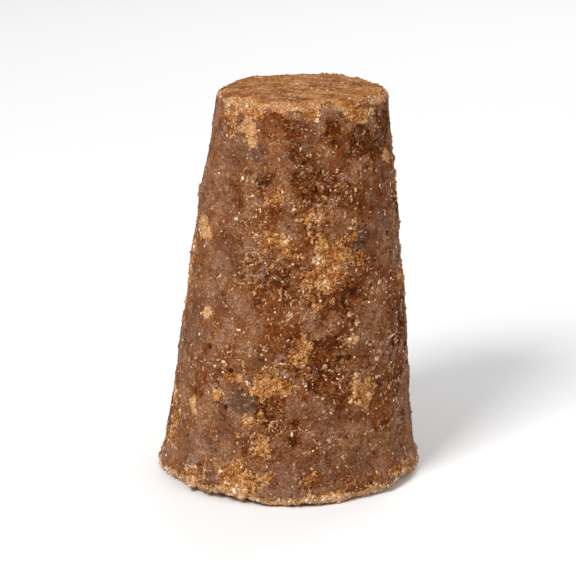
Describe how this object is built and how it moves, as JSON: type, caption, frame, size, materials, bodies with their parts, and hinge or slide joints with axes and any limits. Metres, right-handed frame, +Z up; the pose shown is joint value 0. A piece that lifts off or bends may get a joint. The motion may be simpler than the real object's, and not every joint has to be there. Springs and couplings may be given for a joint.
{
  "type": "piloncillo sugar cone",
  "caption": "Cast cone of unrefined brown cane sugar with a flat top, crumbly edges and a flat foot that it stands on.",
  "frame": {"origin": "centre of the bounding box's underside, in the flat face that the cone stands on", "axes": "+Z up along the cone's axis, from the wide foot to the narrow top; the front faces -Y"},
  "size_m": [0.0598, 0.0596, 0.0889],
  "materials": {
    "unrefined_sugar": "matte, granular"
  },
  "bodies": {
    "root": {"sugar_cone": "unrefined_sugar"}
  },
  "joints": []
}
